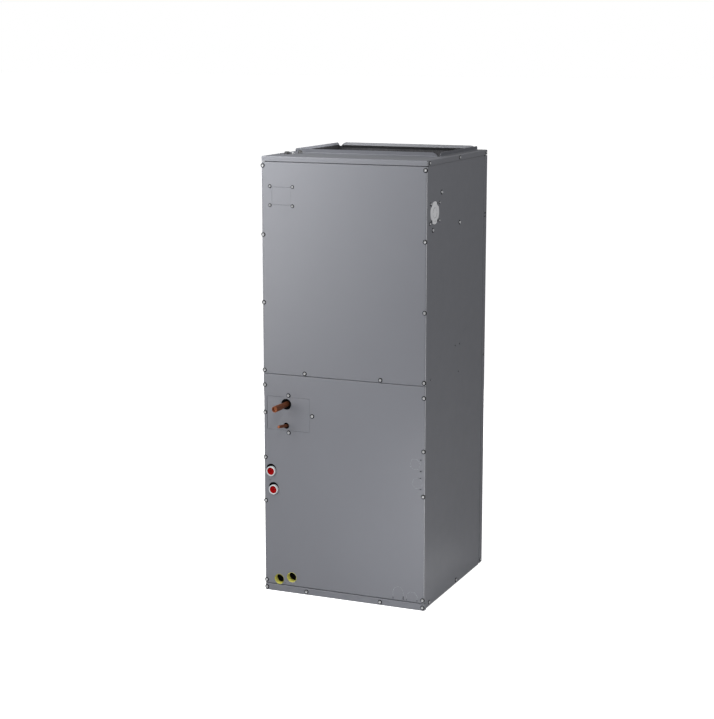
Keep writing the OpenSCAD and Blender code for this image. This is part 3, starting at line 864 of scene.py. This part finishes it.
for word, (dx, dz) in zip(("upper", "lower"), SIDE_DRAINS):
    turned(
        word + "_drain_collar", "white_plastic", (dx, 18.0, dz - DRAIN_DROP), FRONT,
        [(0, 0), (14.6, 0), (15, 0.4), (15, 22.4)]
        + [(13.6 + 1.4 * math.cos(math.radians(a)), 22.6 + 1.4 * math.sin(math.radians(a))) for a in (0, 22, 45, 67, 90)]
        + [(13.2 + 1.2 * math.cos(math.radians(a)), 22.8 + 1.2 * math.sin(math.radians(a))) for a in (90, 120, 150, 180)]
        + [(12.0, 8.2), (0, 8.2)],
        64, (word + "_side_drain_ring",),
    )

    def hexed(k, r, t):
        return r / math.cos((t % (math.pi / 3)) - math.pi / 6) * 0.95 if k in (6, 7) else r

    turned(
        word + "_drain_stopper", "red_plastic", (dx, 10.0, dz - DRAIN_DROP), FRONT,
        [(0, 0), (11.8, 0), (11.9, 12.6), (11.2, 13.6), (9.6, 13.8), (8.2, 13.0), (4.4, 12.8), (4.1, 10.6), (0, 10.4)],
        60, (word + "_side_drain_plug",), hexed,
    )
    # Black sheet behind the slot, around the collar: painted shade in the slot above the collar.
    s = Sheet()
    s.flat(lambda u, v, d: (u, 3.4 + d, v), obround(dx, dz, DRAIN_SLOT_R + 3.8, DRAIN_SLOT_UP, 28), [circle(dx, dz - DRAIN_DROP, 15.1, 56)])
    s.done(word + "_drain_slot_shade", "pan_plastic", (0, -1, 0), (), 6.0)
for word, (dx, dz) in zip(("left", "right"), SOCKETS):
    thread = []
    for k in range(9):
        a = 29.2 - k * 2.3
        thread += [(15.2, a), (14.7, a - 0.75), (14.7, a - 1.05), (15.2, a - 1.8)]
    turned(
        word + "_drain_fitting", "yellow_plastic", (dx, 31.8, dz), FRONT,
        [(0, 0), (15.7, 0), (16.2, 0.5), (16.2, 31.2), (15.95, 31.65), (15.6, 31.8), (15.35, 31.55), (15.2, 30.8)] + thread + [(15.2, 7.9), (0, 7.9)],
        64, (word + "_drain_socket",), angle=50.0,
    )
    # Black disc in the socket's bore, set above its axis: painted shade of the bore's depth.
    turned(
        word + "_drain_bore_shade", "pan_plastic", (dx, 17.2, dz + 2.7), FRONT,
        [(0, 0), (14.6, 0), (14.6, 0.9), (13.4, 1.4), (9.6, 1.5), (8.8, 0.9), (5.6, 0.9), (4.8, 1.5), (3.2, 1.6), (0, 1.6)], 48,
    )

# ---- Electrical entry plates ----------------------------------------------------------------------


def entry_outline(r=33.5, c=(31.0, 32.0), n=15.0):
    """Round plate with four rounded bites."""
    pts = []
    for i in range(360):
        a = math.radians(i)
        q = r
        for sx in (-1, 1):
            for sy in (-1, 1):
                ox, oy = c[0] * sx, c[1] * sy
                along = ox * math.cos(a) + oy * math.sin(a)
                off = ox * ox + oy * oy - along * along
                if off < n * n and along > 0:
                    q = min(q, along - math.sqrt(n * n - off))
        pts.append((ENTRY[0] + q * math.cos(a), ENTRY[1] + q * math.sin(a)))
    return pts


for word, right in (("right", True), ("left", False)):
    s = Sheet()
    xo, inn = (W, -1.0) if right else (0.0, 1.0)
    s.flat(lambda u, v, d: (xo + inn * d, u, v), entry_outline())
    s.done(word + "_entry_plate", "bare_plate", (-inn, 0, 0), (word + "_conduit_plate",), 1.4)
    # Dark lines on the ring knockout's scores, wider on two opposite quarters: painted shade of the score grooves.
    bm = bmesh.new()
    for r, a0, a1, wide in ((15.5, 98, 178, 2.2), (15.5, 282, 356, 2.2), (15.5, 14, 82, 1.0), (15.5, 196, 262, 1.0), (25.0, 262, 292, 1.6)):
        hairline(bm, lambda u, v, d: (xo + inn * d, u, v), arc(ENTRY[0], ENTRY[1], r, a0, a1, 18), wide)
    bmesh.ops.recalc_face_normals(bm, faces=bm.faces)
    dress(link(word + "_entry_score_shade", bm), "casing_paint")

# ---- Insulation -----------------------------------------------------------------------------------


def board(name, node, cell=16.0, depth=1.1):
    """Insulation board with soft edges and an uneven, matted face."""
    lo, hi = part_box(node)
    lo, hi = Vector(lo), Vector(hi)
    size = hi - lo
    n = [max(2, round(size[i] / (cell * 0.001))) for i in range(3)]
    bm = bmesh.new()
    for axis in range(3):
        u, v = [i for i in range(3) if i != axis]
        for end in (0, 1):
            grid = []
            for i in range(n[u] + 1):
                row = []
                for j in range(n[v] + 1):
                    p = [0.0, 0.0, 0.0]
                    p[axis] = float(end)
                    p[u], p[v] = i / n[u], j / n[v]
                    row.append(bm.verts.new([lo[k] + size[k] * p[k] for k in range(3)]))
                grid.append(row)
            for i in range(n[u]):
                for j in range(n[v]):
                    bm.faces.new([grid[i][j], grid[i + 1][j], grid[i + 1][j + 1], grid[i][j + 1]])
    bmesh.ops.remove_doubles(bm, verts=bm.verts, dist=1e-6)
    bmesh.ops.recalc_face_normals(bm, faces=bm.faces)
    bm.normal_update()
    moves = []
    for vtx in bm.verts:
        lump = noise.noise(vtx.co * 21.0) * 0.5 + noise.noise(vtx.co * 75.0) * 0.35
        dent = depth * 0.001 * (0.55 + 0.55 * lump)
        edge = sum(1 for k in range(3) if min(vtx.co[k] - lo[k], hi[k] - vtx.co[k]) < 1e-5)
        moves.append((vtx, vtx.normal * dent * (1.0 + 1.2 * (edge > 1))))
    for vtx, m in moves:
        vtx.co -= m
    soften(bm, 50.0)
    return dress(link(name, bm), "liner", (node,))


for side_name in ("left", "right", "back", "front_upper"):
    board("insulation_" + side_name, "liner_" + side_name)

# Black strips along the inside foot of the duct flanges: painted shade under the flanges.
ox0, oy0, ox1, oy1 = OPEN
s = Sheet()
s.flat(lambda u, v, d: (u, oy1 - 2.3 + d, v), rect(ox0 + 9.0, 1351.4, ox1 - 9.0, H + 3.0, 0.6))
s.flat(lambda u, v, d: (u, oy0 + 0.4 + d, v), rect(ox0 + 9.0, 1345.0, ox1 - 9.0, H + 3.0, 0.6))
for edge in (ox0 + 0.4, ox1 - 0.4):
    s.flat(lambda u, v, d: (edge + d, u, v), rect(oy0 + 9.0, 1345.0, oy1 - 7.0, H + 4.0, 0.6))
opening_shade = s.done("supply_opening_shade", "pan_plastic", (0, -1, 0), (), 0.4)
opening_shade.data.materials[0] = plastic("opening_shade_black", (0.016, 0.016, 0.017), 0.85, 0.25, 420.0, 0.0006, 0.1)

# ---- Blower ---------------------------------------------------------------------------------------

BLOW = (266.5, 328.0, 935.0)
wheel = bmesh.new()
place = frame_at(BLOW, (1, 0, 0))
for a0, a1 in ((-118.0, -112.0), (112.0, 118.0)):
    revolve(wheel, place, [(107.5, a0), (125.0, a0), (125.0, a1), (107.5, a1), (107.5, a0)], 96)
revolve(wheel, place, [(7.0, -1.2), (18.0, -1.2), (122.0, -1.2), (122.0, 1.2), (18.0, 1.2), (18.0, 14.0), (7.0, 14.0), (7.0, -14.0), (18.0, -14.0), (18.0, -1.2)], 96)
for half in (-1, 1):
    for i in range(44):
        base = 2 * math.pi * (i + 0.25 * half) / 44
        inner, outer_side = [], []
        for k in range(6):
            t = k / 5
            r = 107.8 + 16.6 * t
            a = base + math.radians(6.2 * t * t - 1.5 * t)
            for store, q in ((inner, -0.4), (outer_side, 0.4)):
                store.append((r * math.cos(a) - q * math.sin(a), r * math.sin(a) + q * math.cos(a)))
        ring = inner + outer_side[::-1]
        ends = []
        for x in (half * 1.2, half * 114.0):
            ends.append([wheel.verts.new(place @ Vector((p[0] * 0.001, p[1] * 0.001, x * 0.001))) for p in ring])
        m = len(ring)
        for k in range(m):
            wheel.faces.new([ends[0][k], ends[0][(k + 1) % m], ends[1][(k + 1) % m], ends[1][k]])
        wheel.faces.new(ends[0])
        wheel.faces.new(ends[1][::-1])
bmesh.ops.recalc_face_normals(wheel, faces=wheel.faces)
soften(wheel, 30.0)
dress(link("blower_drum", wheel), "galvanised", ("blower_wheel",))

fins = []
for k in range(7):
    a = -180.0 + k * 19.0
    fins += [(70.0, a), (70.0, a + 12.0), (66.5, a + 13.0), (66.5, a + 18.0)]
turned(
    "blower_drive", "motor_black", BLOW, (1, 0, 0),
    [(0, -190), (16, -190), (18, -188), (52, -187), (64, -184), (69, -181)] + fins + [(69.5, -46), (66, -42), (40, -40), (20, -40), (18, -45), (6.35, -45), (6.35, 19), (5.6, 20), (0, 20)],
    72, ("blower_motor",),
)
lip = bmesh.new()
for sx, x in ((-1, 132.5), (1, 400.5)):
    m = frame_at((x, BLOW[1], BLOW[2]), (sx, 0, 0))
    ring = [(118.5, 0.0), (118.5, 1.0), (116.0, 3.0), (113.0, 3.4), (110.5, 2.2), (109.6, -1.0), (109.4, -6.0), (110.4, -6.0), (110.6, -1.2), (112.0, 0.0), (118.5, 0.0)]
    revolve(lip, m, ring, 96)
bmesh.ops.recalc_face_normals(lip, faces=lip.faces)
soften(lip, 40.0)
dress(link("blower_inlet_lips", lip), "galvanised")
screws("deck_screws", [((x, y, 1151.5), UP, 4.6, 2.6) for x in (40.0, 120.0, 266.5, 413.0, 493.0) for y in (40.0, 236.0)])

# ---- Coil ---------------------------------------------------------------------------------------------

for word, flip in (("left", False), ("right", True)):
    bm = bmesh.new()
    lean = math.radians(18.5)
    ux, uz = Vector((math.cos(lean), 0, -math.sin(lean))), Vector((math.sin(lean), 0, math.cos(lean)))
    o = Vector((40.0, 46.0, 47.0))

    def at(u, y, v):
        p = o + ux * u + uz * v + Vector((0, y, 0))
        return P((W - p.x) if flip else p.x, p.y, p.z)

    count = 153
    for i in range(count):
        y = 0.3 + i * (455.0 / (count - 1))
        ring = [(0.0, 0.0), (12.5, 0.5), (25.0, 0.0), (37.5, 0.5), (50.0, 0.0)]
        cols = []
        for v in (0.0, 548.0):
            cols.append([[bm.verts.new(at(u, y + q + k, v)) for u, q in ring] for k in (0.0, 0.28)])
        for a in range(4):
            bm.faces.new([cols[0][0][a], cols[0][0][a + 1], cols[1][0][a + 1], cols[1][0][a]])
            bm.faces.new([cols[0][1][a + 1], cols[0][1][a], cols[1][1][a], cols[1][1][a + 1]])
            for e in (0, 1):
                bm.faces.new([cols[e][0][a], cols[e][1][a], cols[e][1][a + 1], cols[e][0][a + 1]])
        for a in (0, 4):
            bm.faces.new([cols[0][0][a], cols[1][0][a], cols[1][1][a], cols[0][1][a]])
    bmesh.ops.recalc_face_normals(bm, faces=bm.faces)
    dress(link(word + "_coil_fins", bm), "coil_fin", ("coil_slab_" + word,))
    tubes = bmesh.new()
    for row in (13.0, 37.0):
        for k in range(21):
            v = 14.0 + k * 26.0
            c = o + ux * row + uz * v
            m = frame_at(((W - c.x) if flip else c.x, 46.0, c.z), (0, 1, 0))
            revolve(tubes, m, [(0, 0.2), (4.0, 0.2), (4.75, 0.8), (4.75, 455.2), (4.0, 455.8), (0, 455.8)], 14)
    bmesh.ops.recalc_face_normals(tubes, faces=tubes.faces)
    soften(tubes, 40.0)
    dress(link(word + "_coil_tubes", tubes), "copper")

# ---- Studio ---------------------------------------------------------------------------------------------

bm = bmesh.new()
bmesh.ops.create_grid(bm, x_segments=8, y_segments=8, size=60.0)
floor = link("studio_floor", bm)
fm = Mat("studio_floor")
fm.colour(fm.ramp(fm.noise(0.8, 3.0), [(0.3, (0.68, 0.68, 0.685, 1)), (0.7, (0.705, 0.705, 0.71, 1))]))
fm.rough(fm.spread(fm.noise(9.0, 3.0), 0.68, 0.8))
fm.set(Specular_IOR_Level=0.2, Emission_Color=(1.0, 1.0, 1.0, 1.0))
seen = fm.node("ShaderNodeLightPath")
fm.link(fm.spread(seen.outputs["Is Camera Ray"], 0.0, 0.86, 0.0, 1.0), fm.bsdf.inputs["Emission Strength"])
floor.data.materials.append(fm.mat)
floor.location.z = -0.0004

world = bpy.data.worlds.new("studio")
scene.world = world
world.use_nodes = True
wn = world.node_tree
dome = wn.nodes["Background"]
dome.inputs["Color"].default_value = (1.0, 1.0, 1.0, 1.0)
dome.inputs["Strength"].default_value = 0.33
backdrop = wn.nodes.new("ShaderNodeBackground")
backdrop.inputs["Color"].default_value = (1.0, 1.0, 1.0, 1.0)
ray = wn.nodes.new("ShaderNodeLightPath")
pick = wn.nodes.new("ShaderNodeMixShader")
wn.links.new(ray.outputs["Is Camera Ray"], pick.inputs["Fac"])
wn.links.new(dome.outputs["Background"], pick.inputs[1])
wn.links.new(backdrop.outputs["Background"], pick.inputs[2])
wn.links.new(pick.outputs["Shader"], wn.nodes["World Output"].inputs["Surface"])


def softbox(name, at, aim, size, power, colour=(1.0, 1.0, 1.0), size_y=None):
    light = bpy.data.lights.new(name, "AREA")
    light.shape = "RECTANGLE"
    light.size, light.size_y = size, size_y or size
    light.energy = power
    light.color = colour
    ob = bpy.data.objects.new(name, light)
    scene.collection.objects.link(ob)
    ob.location = at
    ob.rotation_euler = (Vector(aim) - Vector(at)).to_track_quat("-Z", "Y").to_euler()
    ob.visible_camera = False
    return ob


strip = softbox("flange_strip", (0.2, 0.1, 1.43), (-0.236, 0.1, 1.364), 0.32, 0.42, size_y=0.05)
strip.data.spread = math.radians(50.0)
softbox("key", (-1.0, -1.3, 1.2), (-0.25, -0.225, 0.9), 0.9, 21.0, size_y=1.4)
softbox("top_left", (-0.6, -1.2, 2.4), (-0.1, 0.1, 1.36), 0.9, 9.2)
softbox("top_near", (-0.45, -0.45, 1.70), (-0.1, -0.05, 1.36), 0.3, 3.4)
softbox("top_right", (1.2, -2.0, 2.6), (0.1, 0.2, 1.37), 1.0, 44.0)
softbox("low_front", (0.3, -0.75, 0.25), (0.25, -0.225, 0.15), 0.4, 1.7)
softbox("back_fill", (-1.3, 2.7, 0.65), (0.0, 0.3, 0.65), 1.6, 34.0, size_y=0.9)
softbox("side_low", (0.42, 0.04, 0.03), (0.267, 0.04, 0.05), 0.55, 0.08, size_y=0.04)
softbox("side_mid", (2.6, 0.6, 1.9), (0.27, 0.04, 0.9), 1.0, 8.1)

cam_data = bpy.data.cameras.new("camera")
cam_data.sensor_width = 36.0
cam_data.lens = 1710.7 * 36.0 / 719.0
cam = bpy.data.objects.new("camera", cam_data)
scene.collection.objects.link(cam)
cam.location = (2.0275, -4.843, 1.714)
yaw, pitch = math.radians(-23.22), math.radians(10.77)
look = Vector((math.sin(yaw) * math.cos(pitch), math.cos(yaw) * math.cos(pitch), -math.sin(pitch)))
cam.rotation_euler = look.to_track_quat("-Z", "Y").to_euler()
scene.camera = cam
scene.view_settings.view_transform = "Standard"
scene.view_settings.look = "None"
